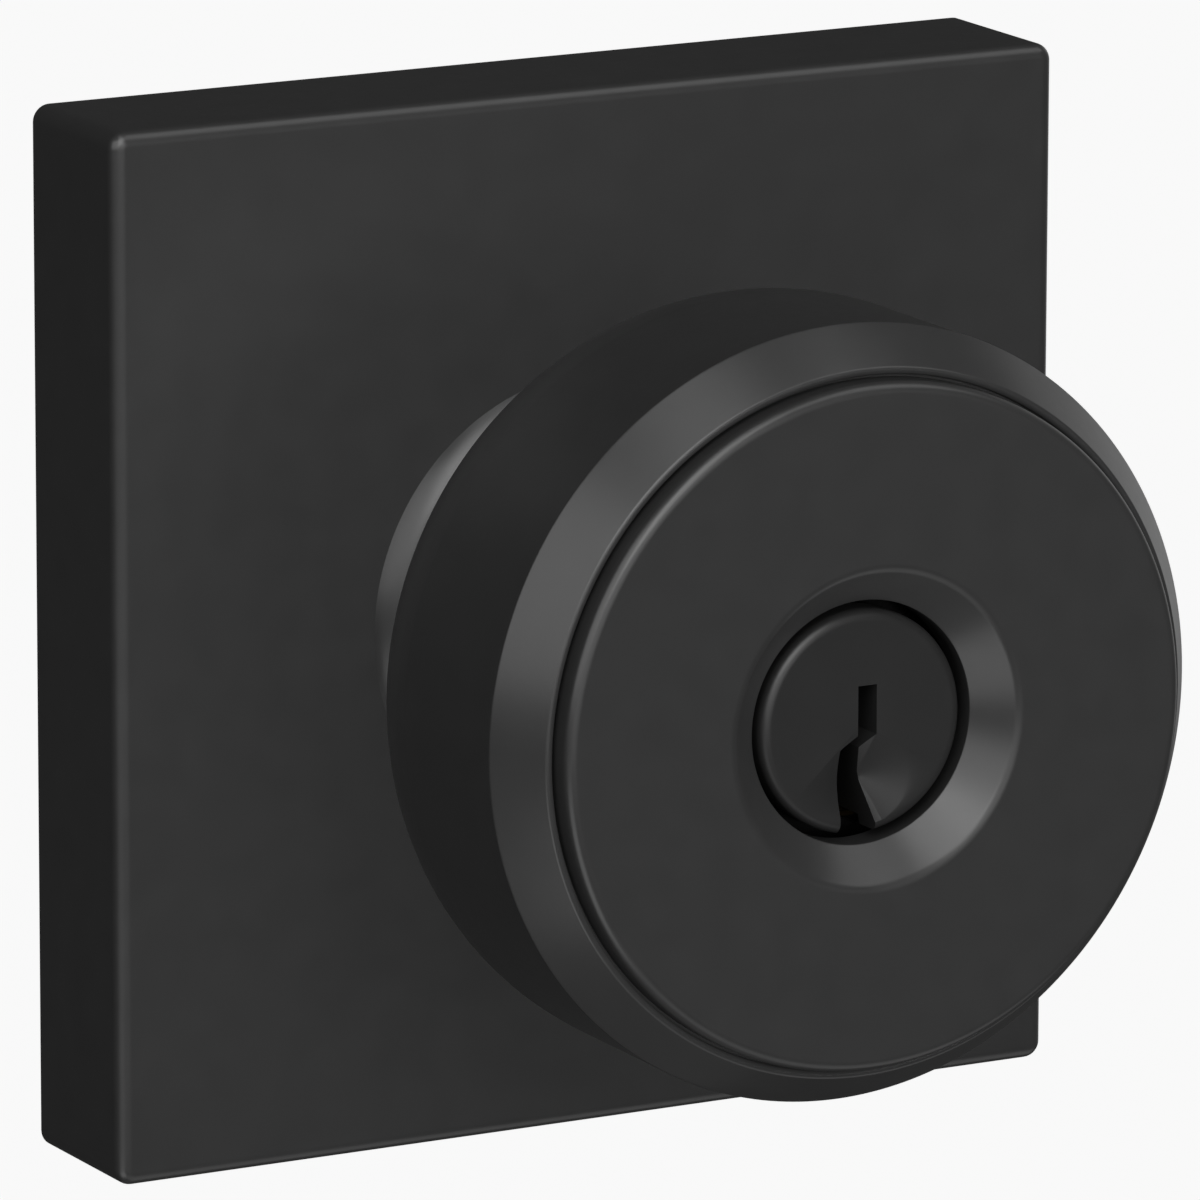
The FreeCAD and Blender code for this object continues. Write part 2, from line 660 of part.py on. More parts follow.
def chamber_cover():
    half = COVER_WIDTH / 2
    back = CYLINDER_BACK + COVER_INSET
    front = CYLINDER_FRONT - COVER_INSET
    return block(-half, half, back, front, BIBLE_TOP, BIBLE_TOP + COVER_THICK)


def driver_pins():
    """The upper pins, held just above the plug, as they are while a key is in it."""
    bottom = PLUG_BORE_R
    pins = [upright(PIN_R, bottom, bottom + DRIVER_LENGTH, depth) for depth in pin_depths()]
    return Part.makeCompound(pins)


def pin_springs():
    bottom = PLUG_BORE_R + DRIVER_LENGTH + SLIP_GAP + PIN_SPRING_WIRE_R
    top = BIBLE_TOP - SLIP_GAP - PIN_SPRING_WIRE_R
    pitch = (top - bottom) / PIN_SPRING_COILS
    spring = coil(PIN_R - 2 * PIN_SPRING_WIRE_R, PIN_SPRING_WIRE_R, pitch, PIN_SPRING_COILS)
    places = [FreeCAD.Vector(0, -depth, bottom) for depth in pin_depths()]
    return Part.makeCompound([spring.translated(place) for place in places])


def catch_spring():
    """A leaf spring along the tube's floor, welded at its foot, that lifts the catch's flange."""
    wall_z = -math.sqrt(TUBE_BORE_R ** 2 - (LEAF_WIDTH / 2) ** 2) + SLIP_GAP
    seat_z = catch_flange_bottom() + CATCH_FLANGE_THICK + SLIP_GAP
    foot_start = TUBE_BACK + SPINDLE_PLUG_SET + SPINDLE_PLUG + FREE_GAP
    foot_end = foot_start + LEAF_FOOT
    slope_end = foot_end + LEAF_SLOPE
    tip = CATCH_DEPTH + LEAF_TIP
    strip = outline([
        (foot_start, wall_z),
        (foot_end, wall_z),
        (slope_end, seat_z),
        (tip, seat_z),
        (tip, seat_z + LEAF_THICK),
        (slope_end, seat_z + LEAF_THICK),
        (foot_end, wall_z + LEAF_THICK),
        (foot_start, wall_z + LEAF_THICK),
    ], side_view)
    strip.translate(FreeCAD.Vector(-LEAF_WIDTH / 2, 0, 0))
    return strip.extrude(FreeCAD.Vector(LEAF_WIDTH, 0, 0))


# ---- The catch that holds the knob on the tube ----
def catch_flange_bottom():
    return -math.sqrt(TUBE_BORE_R ** 2 - CATCH_FLANGE_R ** 2) + CRADLE_GAP


def knob_catch():
    bottom = catch_flange_bottom()
    flange = upright(CATCH_FLANGE_R, bottom, bottom + CATCH_FLANGE_THICK, CATCH_DEPTH)
    pin = upright(CATCH_R, FREE_GAP - SLEEVE_R, bottom + CATCH_FLANGE_THICK, CATCH_DEPTH)
    return joined([flange, pin])


# ---- The pieces that turn with the key ----
def plug():
    body = turned([
        (0, STUB_BACK),
        (STUB_R, STUB_BACK),
        (STUB_R, CYLINDER_BACK),
        (PLUG_R, CYLINDER_BACK),
        (PLUG_R, PLUG_SHOULDER),
        (PLUG_HEAD_R, PLUG_SHOULDER),
        (PLUG_HEAD_R, PLUG_FACE, PLUG_HEAD_EDGE),
        (0, PLUG_FACE),
    ])
    below = -PLUG_HEAD_R - 1
    keyway = prism([
        (KEY_SLOT_LEFT, KEY_SLOT_TOP),
        (KEY_SLOT_RIGHT, KEY_SLOT_TOP),
        (KEY_SLOT_RIGHT, KEY_STEP),
        (KEY_WAIST, 2 * KEY_STEP),
        (KEY_FOOT_RIGHT, below),
        (KEY_FOOT_LEFT, below),
        (KEY_FOOT_LEFT, 2 * KEY_STEP),
        (KEY_SLOT_LEFT, KEY_STEP),
    ], CYLINDER_BACK + KEYWAY_REST, PLUG_FACE + 1)
    pocket = Part.makeCone(
        POCKET_FLOOR_R, POCKET_R, POCKET_DEPTH,
        FreeCAD.Vector(POCKET_X, POCKET_DEPTH - PLUG_FACE, POCKET_Z), FreeCAD.Vector(0, -1, 0))
    holes = [upright(CHAMBER_R, PIN_HOLE_END, PLUG_R + 1, depth) for depth in pin_depths()]
    return body.cut([keyway, pocket] + holes)


def key_pins():
    """The lower pins, with pointed ends, lifted level with the plug's crown."""
    top = PLUG_R - KEY_PIN_SINK
    pins = []
    for length, depth in zip(KEY_PIN_LENGTHS, pin_depths()):
        tip_top = top - length + KEY_PIN_TIP
        tip = Part.makeCone(PIN_R / 3, PIN_R, KEY_PIN_TIP, FreeCAD.Vector(0, -depth, top - length))
        pins.append(joined([upright(PIN_R, tip_top, top, depth), tip]))
    return Part.makeCompound(pins)


def plug_cap():
    return turned([
        (CAP_HOLE_R, CAP_BACK),
        (CAP_R, CAP_BACK, 0.3),
        (CAP_R, CAP_FRONT),
        (CAP_BORE_R, CAP_FRONT),
        (CAP_BORE_R, CAP_FLOOR),
        (CAP_HOLE_R, CAP_FLOOR),
    ])


def tailpiece():
    flange = rod(TAIL_FLANGE_R, TAIL_FLANGE_BACK, TAIL_FLANGE_FRONT)
    half_thick = TAIL_THICK / 2
    half_wide = TAIL_WIDTH / 2
    blade = block(-half_thick, half_thick, TAIL_BACK, TAIL_FLANGE_FRONT, -half_wide, half_wide)
    return joined([flange, blade])


PIECES = (
    rose_cover, mounting_plate, spring_cage, cage_rivets, spindle_bushing, stem_left, stem_right,
    return_spring, stop_pins, spindle_tube, drive_spindle, spring_rotor, retaining_ring,
    thrust_washer, knob_sleeve, knob_body, knob_face, cylinder_cradle, cylinder_body,
    chamber_cover, driver_pins, pin_springs, catch_spring, knob_catch, plug, key_pins, plug_cap,
    tailpiece,
)

os.makedirs("parts", exist_ok=True)
for piece in PIECES:
    shape = piece()
    if not shape.isValid():
        raise RuntimeError(piece.__name__ + " is not a valid solid")
    shape.exportStep("parts/" + piece.__name__ + ".step")
    print(piece.__name__, len(shape.Solids), round(shape.Volume, 1))
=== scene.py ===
import json
import math
import bmesh
import bpy
from mathutils import Matrix, Vector


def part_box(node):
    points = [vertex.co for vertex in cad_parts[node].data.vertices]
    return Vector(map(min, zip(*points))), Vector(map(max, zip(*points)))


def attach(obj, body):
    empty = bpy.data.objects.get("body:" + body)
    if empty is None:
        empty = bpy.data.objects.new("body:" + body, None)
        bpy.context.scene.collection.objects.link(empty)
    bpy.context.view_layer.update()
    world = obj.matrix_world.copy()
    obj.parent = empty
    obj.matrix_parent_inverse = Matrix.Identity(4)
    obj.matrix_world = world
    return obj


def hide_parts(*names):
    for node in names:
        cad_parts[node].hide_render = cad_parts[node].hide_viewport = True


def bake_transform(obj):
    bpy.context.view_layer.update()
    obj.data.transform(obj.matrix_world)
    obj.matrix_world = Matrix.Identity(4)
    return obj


# A keyed door knob on a square rose, in matte black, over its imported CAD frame.
# Outlines are in millimetres, as (radius, depth) or (x, z) points, where a depth counts out of
# the door, along -Y. Blender's own units are metres.
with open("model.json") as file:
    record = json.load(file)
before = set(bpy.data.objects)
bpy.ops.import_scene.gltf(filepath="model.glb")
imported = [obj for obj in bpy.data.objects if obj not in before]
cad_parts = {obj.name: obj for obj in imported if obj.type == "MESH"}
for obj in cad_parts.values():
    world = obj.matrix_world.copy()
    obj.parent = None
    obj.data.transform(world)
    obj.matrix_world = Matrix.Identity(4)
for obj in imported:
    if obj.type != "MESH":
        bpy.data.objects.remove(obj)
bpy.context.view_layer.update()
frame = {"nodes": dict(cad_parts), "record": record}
MM = 0.001
TURN = 2 * math.pi

# ---- How finely the meshes are cut ----
ARC_STEP = 6.0
SUPPORT = 0.05
LATHE_SEGMENTS = 288
PLUG_SEGMENTS = 192
HOLE_SEGMENTS = 48
POCKET_SEGMENTS = 96
SHARP_ANGLE = 35.0
PLUG_SHARP_ANGLE = 30.0
MERGE_DISTANCE = 1e-7

# ---- Shape values that a box doesn't give, in millimetres ----
ROSE_DEPTH = 11.3
ROSE_WALL = 1.5
ROSE_CORNER_R = 1.1
ROSE_EDGE_R = 0.9
ROSE_RIM_ROUND = 0.12
ROSE_INSIDE_CORNER = 0.3
COLLAR_LIP = 0.2
COLLAR_SPREAD = 3.0
COLLAR_TILT = 60.0
COLLAR_GAP = 0.3
KNOB_WALL = 1.5
KNOB_DRAFT = 0.08
NECK_LENGTH = 4.64
NECK_END_R = 0.3
NECK_BLEND_R = 3.0
BACK_SLOPE = 45.4
BACK_ROUND_R = 9.5
INSIDE_SLOPE = 50.0
INSIDE_ROUND_R = 6.06
BEVEL_RUN = 2.7
BEVEL_RISE = 3.85
BEVEL_EDGE_R = 0.3
LEDGE_WIDTH = 1.7
LEDGE_THICK = 1.5
DISC_THICK = 2.2
DISC_PROUD = 0.75
DISC_EDGE_R = 0.7
DISC_BACK_R = 0.2
BOSS_WALL = 3.5
DISH_R = 9.9
DISH_DEPTH = 2.1
DISH_EDGE_R = 0.9
BORE_GAP = 0.6
BORE_EDGE_R = 0.15
PLUG_R = 6.35
PLUG_STUB_R = 5.2
PLUG_HEAD_THICK = 2.15
PLUG_HEAD_EDGE = 0.7
AXIS_R = 0.001
SLIP_GAP = 0.05
KEYWAY_TOP = 2.3
KEYWAY_LEFT = -0.27
KEYWAY_RIGHT = 1.03
KEYWAY_WAIST = 0.0
KEYWAY_STEP = -0.8
KEYWAY_FOOT_LEFT = -1.45
KEYWAY_FOOT_RIGHT = 1.33
KEYWAY_FLOOR = 0.8
POCKET_X = 0.33
POCKET_Z = -3.6
POCKET_R = 2.85
POCKET_TIP_R = 0.3
POCKET_DEPTH = 1.2
POCKET_PAST_FACE = 0.056
POCKET_PAST_R = 0.12
POKE_HOLE_R = 0.8
CYLINDER_BLACK_FROM = 43.2
LEAF_THICK = 0.3
LEAF_FOOT = 3.5
LEAF_SLOPE = 3.0


def box_mm(node):
    """A node's low and high corners in millimetres."""
    low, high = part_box(node)
    return low / MM, high / MM


# ---- Mesh helpers ----
def arc_points(enter, leave, centre):
    """Points from enter to leave round a centre, the short way."""
    start = math.atan2(enter.y - centre.y, enter.x - centre.x)
    sweep = math.atan2(leave.y - centre.y, leave.x - centre.x) - start
    sweep = (sweep + math.pi) % TURN - math.pi
    radius = (enter - centre).length
    count = max(2, math.ceil(abs(math.degrees(sweep)) / ARC_STEP))
    angles = [start + sweep * index / count for index in range(count + 1)]
    return [centre + radius * Vector((math.cos(a), math.sin(a))) for a in angles]


def rounded(points):
    """A closed outline as dense points. A third value in a point rounds that corner.

    Where there is room, a support point beside each end of a round keeps the flats flat.
    """
    places = [Vector((point[0], point[1])) for point in points]
    count = len(places)
    line = []
    for index, here in enumerate(places):
        radius = points[index][2] if len(points[index]) > 2 else 0
        back = places[index - 1] - here
        ahead = places[(index + 1) % count] - here
        room = min(back.length, ahead.length)
        back.normalize()
        ahead.normalize()
        if radius == 0:
            line.append(here)
            continue
        half = back.angle(ahead) / 2
        reach = radius / math.tan(half)
        centre = here + (back + ahead).normalized() * (radius / math.sin(half))
        enter = here + back * reach
        leave = here + ahead * reach
        supported = reach + SUPPORT < room / 2
        if supported:
            line.append(enter + back * SUPPORT)
        line += arc_points(enter, leave, centre)
        if supported:
            line.append(leave + ahead * SUPPORT)
    return line


def mesh_object(name, vertices, faces):
    """A smooth-shaded closed object from millimetre vertices, with edges kept over an angle."""
    mesh = bpy.data.meshes.new(name)
    mesh.from_pydata([Vector(v) * MM for v in vertices], [], faces)
    work = bmesh.new()
    work.from_mesh(mesh)
    bmesh.ops.remove_doubles(work, verts=work.verts, dist=MERGE_DISTANCE)
    bmesh.ops.recalc_face_normals(work, faces=work.faces)
    work.to_mesh(mesh)
    work.free()
    mesh.shade_smooth()
    mesh.set_sharp_from_angle(angle=math.radians(SHARP_ANGLE))
    piece = bpy.data.objects.new(name, mesh)
    bpy.context.scene.collection.objects.link(piece)
    return piece


def loft(name, loops):
    """Skins equal rings of points in order and joins the last to the first."""
    size = len(loops[0])
    vertices = [point for ring in loops for point in ring]
    faces = []
    for row in range(len(loops)):
        following = (row + 1) % len(loops)
        for column in range(size):
            side = (column + 1) % size
            faces.append((row * size + column, row * size + side,
                          following * size + side, following * size + column))
    return mesh_object(name, vertices, faces)


def circle(radius, depth, angles):
    return [(radius * math.cos(a), -depth, radius * math.sin(a)) for a in angles]


def lathe(name, outline, segments=LATHE_SEGMENTS):
    """Turns a closed (radius, depth) outline about the knob's axis."""
    angles = [TURN * index / segments for index in range(segments)]
    return loft(name, [circle(point[0], point[1], angles) for point in outline])


def cut(piece, tool, sharp):
    """Takes a tool's volume out of a piece, and the tool away. Edges over an angle stay sharp."""
    modifier = piece.modifiers.new("cut", "BOOLEAN")
    modifier.operation = "DIFFERENCE"
    modifier.solver = "EXACT"
    modifier.object = tool
    bpy.context.view_layer.update()
    graph = bpy.context.evaluated_depsgraph_get()
    mesh = bpy.data.meshes.new_from_object(piece.evaluated_get(graph))
    piece.modifiers.clear()
    piece.data = mesh
    bpy.data.objects.remove(tool)
    piece.data.set_sharp_from_angle(angle=math.radians(sharp))


def prism(name, outline, back, front):
    """A bar along the axis with an (x, z) outline."""
    count = len(outline)
    vertices = [(p[0], -depth, p[1]) for depth in (back, front) for p in outline]
    faces = [tuple(range(count)), tuple(range(count, 2 * count))]
    for index in range(count):
        side = (index + 1) % count
        faces.append((index, side, count + side, count + index))
    return mesh_object(name, vertices, faces)


def cone_tool(name, x, z, low_r, low, high_r, high, segments):
    """A round tool along the axis between two depths."""
    angles = [TURN * index / segments for index in range(segments)]
    vertices = [(x + r * math.cos(a), -depth, z + r * math.sin(a))
                for r, depth in ((low_r, low), (high_r, high)) for a in angles]
    faces = [tuple(range(segments)), tuple(range(segments, 2 * segments))]
    for index in range(segments):
        side = (index + 1) % segments
        faces.append((index, side, segments + side, segments + index))
    return mesh_object(name, vertices, faces)


# ---- Materials ----
NOISE_LOW = 0.3
NOISE_HIGH = 0.7
GRAIN_DEPTH = 0.00002
PEEL_DEPTH = 0.00004


class Surface:
    """A procedural material on one Principled shader."""

    def __init__(self, name):
        self.material = bpy.data.materials.new(name)
        self.material.use_nodes = True
        self.nodes = self.material.node_tree.nodes
        self.links = self.material.node_tree.links
        self.shader = self.nodes["Principled BSDF"]
        self.place = self.nodes.new("ShaderNodeTexCoord").outputs["Object"]

    def set(self, **values):
        for key, value in values.items():
            self.shader.inputs[key.replace("_", " ").capitalize()].default_value = value

    def scaled(self, scale):
        """Object coordinates stretched by a scale for each axis."""
        mapping = self.nodes.new("ShaderNodeMapping")
        mapping.inputs["Scale"].default_value = scale
        self.links.new(self.place, mapping.inputs["Vector"])
        return mapping.outputs["Vector"]

    def noise(self, per_metre, detail=2.0, rough=0.5, vector=None):
        node = self.nodes.new("ShaderNodeTexNoise")
        node.inputs["Scale"].default_value = per_metre
        node.inputs["Detail"].default_value = detail
        node.inputs["Roughness"].default_value = rough
        self.links.new(vector or self.place, node.inputs["Vector"])
        return node.outputs["Fac"]

    def spread(self, value, low, high):
        """A noise's usual range, stretched to run from low to high."""
        node = self.nodes.new("ShaderNodeMapRange")
        node.inputs["From Min"].default_value = NOISE_LOW
        node.inputs["From Max"].default_value = NOISE_HIGH
        node.inputs["To Min"].default_value = low
        node.inputs["To Max"].default_value = high
        self.links.new(value, node.inputs["Value"])
        return node.outputs["Result"]

    def blend(self, value, dark, light):
        node = self.nodes.new("ShaderNodeMix")
        node.data_type = "RGBA"
        node.inputs["A"].default_value = (*dark, 1)
        node.inputs["B"].default_value = (*light, 1)
        self.links.new(self.spread(value, 0.0, 1.0), node.inputs["Factor"])
        return node.outputs["Result"]

    def bump(self, value, strength, distance=GRAIN_DEPTH):
        node = self.nodes.new("ShaderNodeBump")
        node.inputs["Strength"].default_value = strength
        node.inputs["Distance"].default_value = distance
        self.links.new(value, node.inputs["Height"])
        self.links.new(node.outputs["Normal"], self.shader.inputs["Normal"])

    def use(self, key, output):
        self.links.new(output, self.shader.inputs[key])


def black_finish(name, colour, roughness, grain):
    """Matte black finish: a fine grain in the coat and a faint unevenness in its sheen."""
    surface = Surface(name)
    dark = [value * 0.95 for value in colour]
    light = [value * 1.05 for value in colour]
    surface.use("Base Color", surface.blend(surface.noise(420), dark, light))
    sheen = surface.noise(1600, 3)
    surface.use("Roughness", surface.spread(sheen, roughness - 0.01, roughness + 0.01))
    surface.bump(surface.noise(5200, 2), grain)
    return surface.material


def zinc_plate(name, colour, roughness):
    """Zinc-plated steel: a mottled passivated colour, with fine rolling marks."""
    surface = Surface(name)
    warm = (colour[0] * 1.02, colour[1], colour[2] * 0.94)
    cold = (colour[0] * 0.95, colour[1] * 0.98, colour[2])
    surface.use("Base Color", surface.blend(surface.noise(160, 4), warm, cold))
    sheen = surface.noise(700, 3)
    surface.use("Roughness", surface.spread(sheen, roughness - 0.04, roughness + 0.04))
    surface.set(metallic=1.0)
    rolling = surface.scaled((1, 1, 14))
    surface.bump(surface.noise(2400, 2, 0.5, rolling), 0.05)
    return surface.material


def blackened_front(surface, plain, depth, fade=0.2):
    """Runs from the plain metal's colour to a black finish, in front of a depth."""
    parts = surface.nodes.new("ShaderNodeSeparateXYZ")
    surface.links.new(surface.place, parts.inputs["Vector"])
    edge = surface.nodes.new("ShaderNodeMapRange")
    edge.inputs["From Min"].default_value = -(depth - fade) * MM
    edge.inputs["From Max"].default_value = -depth * MM
    surface.links.new(parts.outputs["Y"], edge.inputs["Value"])
    mix = surface.nodes.new("ShaderNodeMix")
    mix.data_type = "RGBA"
    mix.inputs["B"].default_value = (0.012, 0.012, 0.012, 1)
    surface.links.new(plain, mix.inputs["A"])
    surface.links.new(edge.outputs["Result"], mix.inputs["Factor"])
    return mix.outputs["Result"]


def turned_metal(name, colour, roughness, marks, black_from=None):
    """Machined metal: fine rings around the axis it was turned on, and slight tarnish."""
    surface = Surface(name)
    dark = [value * 0.8 for value in colour]
    metal = surface.blend(surface.noise(260, 4), dark, colour)
    if black_from:
        metal = blackened_front(surface, metal, black_from)
    surface.use("Base Color", metal)
    sheen = surface.noise(1400, 3)
    surface.use("Roughness", surface.spread(sheen, roughness - 0.06, roughness + 0.06))
    surface.set(metallic=1.0)
    rings = surface.scaled((0.15, 3, 0.15))
    surface.bump(surface.noise(2600, 2, 0.5, rings), marks)
    return surface.material


def cast_metal(name, colour, roughness):
    """A casting as it leaves the mould: a soft mottle and a fine orange peel."""
    surface = Surface(name)
    dark = [value * 0.78 for value in colour]
    surface.use("Base Color", surface.blend(surface.noise(220, 5, 0.6), dark, colour))
    sheen = surface.noise(500, 3)
    surface.use("Roughness", surface.spread(sheen, roughness - 0.08, roughness + 0.08))
    surface.set(metallic=1.0)
    surface.bump(surface.noise(1500, 4, 0.6), 0.25, PEEL_DEPTH)
    return surface.material


def moulded_plastic(name, colour):
    """A waxy plastic: nearly even in colour, with a slightly uneven sheen."""
    surface = Surface(name)
    dark = [value * 0.93 for value in colour]
    surface.use("Base Color", surface.blend(surface.noise(300, 2), dark, colour))
    surface.use("Roughness", surface.spread(surface.noise(1800, 2), 0.38, 0.5))
    surface.bump(surface.noise(3000, 2), 0.1)
    return surface.material


MATERIALS = {
    "black_trim": black_finish("matte_black", (0.015, 0.015, 0.015), 0.31, 0.12),
    "black_plug": black_finish("satin_black_plug", (0.01, 0.01, 0.01), 0.36, 0.12),
    "zinc_steel": zinc_plate("zinc_plated_steel", (0.62, 0.62, 0.6), 0.36),
    "spring_steel": turned_metal("oiled_spring_steel", (0.3, 0.3, 0.32), 0.3, 0.1),
    "bearing_bronze": cast_metal("sintered_bronze", (0.45, 0.28, 0.14), 0.5),
    "bearing_plastic": moulded_plastic("natural_acetal", (0.72, 0.71, 0.66)),
    "die_cast_zinc": cast_metal("die_cast_zinc", (0.5, 0.5, 0.51), 0.48),
    "cylinder_brass": turned_metal("machined_brass", (0.72, 0.5, 0.2), 0.3, 0.15, CYLINDER_BLACK_FROM),
}


def stands_for(piece, slot, node):
    """Gives a piece its material, in the place of a CAD node."""
    piece.data.materials.clear()
    piece.data.materials.append(MATERIALS[slot])
    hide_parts(node)


# ---- Driving sizes read from the frame ----
rose_high = box_mm("rose_cover")[1]
knob_high = box_mm("knob_body")[1]
disc_low, disc_high = box_mm("knob_face")
plug_low, plug_high = box_mm("plug")
sleeve_high = box_mm("knob_sleeve")[1]
catch_low, catch_high = box_mm("knob_catch")
rose_half = rose_high.x
neck_bore_r = sleeve_high.x + SLIP_GAP
neck_r = neck_bore_r + KNOB_WALL
neck_back = -knob_high.y
rim_r = knob_high.x
knob_r = rim_r - KNOB_DRAFT
opening_r = rim_r - BEVEL_RUN
disc_r = disc_high.x
disc_front = -disc_low.y
opening = disc_front - DISC_PROUD
rim = opening - BEVEL_RISE
disc_back = disc_front - DISC_THICK
catch_depth = -(catch_low.y + catch_high.y) / 2
plug_face = -plug_low.y
plug_head_r = plug_high.x
back_start = ROSE_DEPTH + NECK_LENGTH
back_tan = math.tan(math.radians(BACK_SLOPE))
inside_tan = math.tan(math.radians(INSIDE_SLOPE))


# ---- Rose ----
def square_ring(half, corner_r, depth, side_steps=44, corner_steps=8):
    """A rounded square, with its points in order of angle."""
    points = []
    for quarter in range(4):
        turn = Matrix.Rotation(quarter * TURN / 4, 2)
        reach = half - corner_r
        for index in range(side_steps):
            across = -reach + 2 * reach * index / side_steps
            points.append(turn @ Vector((half, across)))
        for index in range(corner_steps):
            angle = TURN / 4 * index / corner_steps
            x = reach + corner_r * math.cos(angle)
            y = reach + corner_r * math.sin(angle)
            points.append(turn @ Vector((x, y)))
    return [(p.x, -depth, p.y) for p in points]


def rose():
    """The square cover with its collar, skinned from the back, over the front, to the inside."""
    bore_r = neck_r + COLLAR_GAP
    lip_r = bore_r + COLLAR_LIP
    foot_r = lip_r + COLLAR_SPREAD
    tilt = math.radians(COLLAR_TILT)
    swell = COLLAR_SPREAD / math.sin(tilt)
    lip = ROSE_DEPTH + swell * (1 - math.cos(tilt))
    inside = ROSE_DEPTH - ROSE_WALL
    inner_half = rose_half - ROSE_WALL
    flat_half = rose_half - ROSE_EDGE_R
    fillet_steps = 12
    dome_steps = 14
    edge_support = 0.1
    collar_support = 1.5
    bore_support = 0.3
    margin = 6.0
    margin_corner = 3.0
    angles = [math.atan2(point[2], point[0]) for point in square_ring(rose_half, ROSE_CORNER_R, 0)]
    loops = [square_ring(inner_half, ROSE_INSIDE_CORNER, 0)]
    for inset, depth in ((ROSE_RIM_ROUND, 0), (ROSE_RIM_ROUND * 0.3, ROSE_RIM_ROUND * 0.3),
                         (0, ROSE_RIM_ROUND), (0, ROSE_RIM_ROUND * 2),
                         (0, ROSE_DEPTH - ROSE_EDGE_R - ROSE_RIM_ROUND)):
        loops.append(square_ring(rose_half - inset, ROSE_CORNER_R - inset, depth))
    for index in range(fillet_steps + 1):
        angle = TURN / 4 * index / fillet_steps
        inset = ROSE_EDGE_R * (1 - math.cos(angle))
        depth = ROSE_DEPTH - ROSE_EDGE_R * (1 - math.sin(angle))
        loops.append(square_ring(rose_half - inset, ROSE_CORNER_R - inset, depth))
    for inset in (edge_support, margin):
        loops.append(square_ring(flat_half - inset, 0.2 + inset * 0.5, ROSE_DEPTH))
    loops.append(circle(foot_r + collar_support, ROSE_DEPTH, angles))
    loops.append(circle(foot_r + SUPPORT, ROSE_DEPTH, angles))
    for index in range(dome_steps + 1):
        angle = tilt * (1 - index / dome_steps)
        radius = lip_r + swell * math.sin(angle)
        loops.append(circle(radius, lip - swell * (1 - math.cos(angle)), angles))
    for radius, depth in ((bore_r + SUPPORT, lip), (bore_r, lip - SUPPORT),
                          (bore_r, lip - bore_support), (bore_r, inside), (foot_r, inside)):
        loops.append(circle(radius, depth, angles))
    loops.append(square_ring(inner_half - margin, margin_corner, inside))
    loops.append(square_ring(inner_half, ROSE_INSIDE_CORNER, inside))
    piece = loft("rose_shell", loops)
    stands_for(piece, "black_trim", "rose_cover")
    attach(piece, "rose_assembly")


# ---- Knob ----
def shell_inside(radius):
    """The depth of the shell's inside at a radius, behind its sloping back."""
    shift = KNOB_WALL / math.cos(math.radians(INSIDE_SLOPE))
    return back_start + (radius + shift - neck_r) / inside_tan


def knob_shell():
    """The hollow knob, with the poke hole of the catch in the underside of its neck."""
    side_start = back_start + (knob_r - neck_r) / back_tan
    inside_r = knob_r - KNOB_WALL
    ledge_r = opening_r - LEDGE_WIDTH
    ledge_back = disc_back - LEDGE_THICK
    outline = rounded([
        (neck_bore_r, neck_back),
        (neck_r, neck_back, NECK_END_R),
        (neck_r, back_start, NECK_BLEND_R),
        (knob_r, side_start, BACK_ROUND_R),
        (rim_r, rim, BEVEL_EDGE_R),
        (opening_r, opening, BEVEL_EDGE_R),
        (opening_r, disc_back),
        (ledge_r, disc_back),
        (ledge_r, ledge_back),
        (inside_r, ledge_back - (inside_r - ledge_r)),
        (inside_r, shell_inside(inside_r), INSIDE_ROUND_R),
        (neck_bore_r, shell_inside(neck_bore_r)),
    ])
    piece = lathe("knob_shell", outline)
    hole = cone_tool("hole", 0, 0, POKE_HOLE_R, 0, POKE_HOLE_R, neck_r + 1, HOLE_SEGMENTS)
    downward = Matrix.Rotation(TURN / 4, 4, "X")
    hole.data.transform(Matrix.Translation((0, -catch_depth * MM, 0)) @ downward)
    cut(piece, hole, SHARP_ANGLE)
    stands_for(piece, "black_trim", "knob_body")
    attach(piece, "knob")


def knob_disc():
    """The face disc, dished around the lock, with a boss behind."""
    boss_back = -disc_high.y
    bore_r = plug_head_r + BORE_GAP
    boss_r = bore_r + BOSS_WALL
    outline = rounded([
        (bore_r, boss_back),
        (boss_r, boss_back, DISC_BACK_R),
        (boss_r, disc_back),
        (disc_r, disc_back, DISC_BACK_R),
        (disc_r, disc_front, DISC_EDGE_R),
        (DISH_R, disc_front, DISH_EDGE_R),
        (bore_r, disc_front - DISH_DEPTH, BORE_EDGE_R),
    ])
    piece = lathe("knob_disc", outline)
    stands_for(piece, "black_trim", "knob_face")
    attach(piece, "knob")


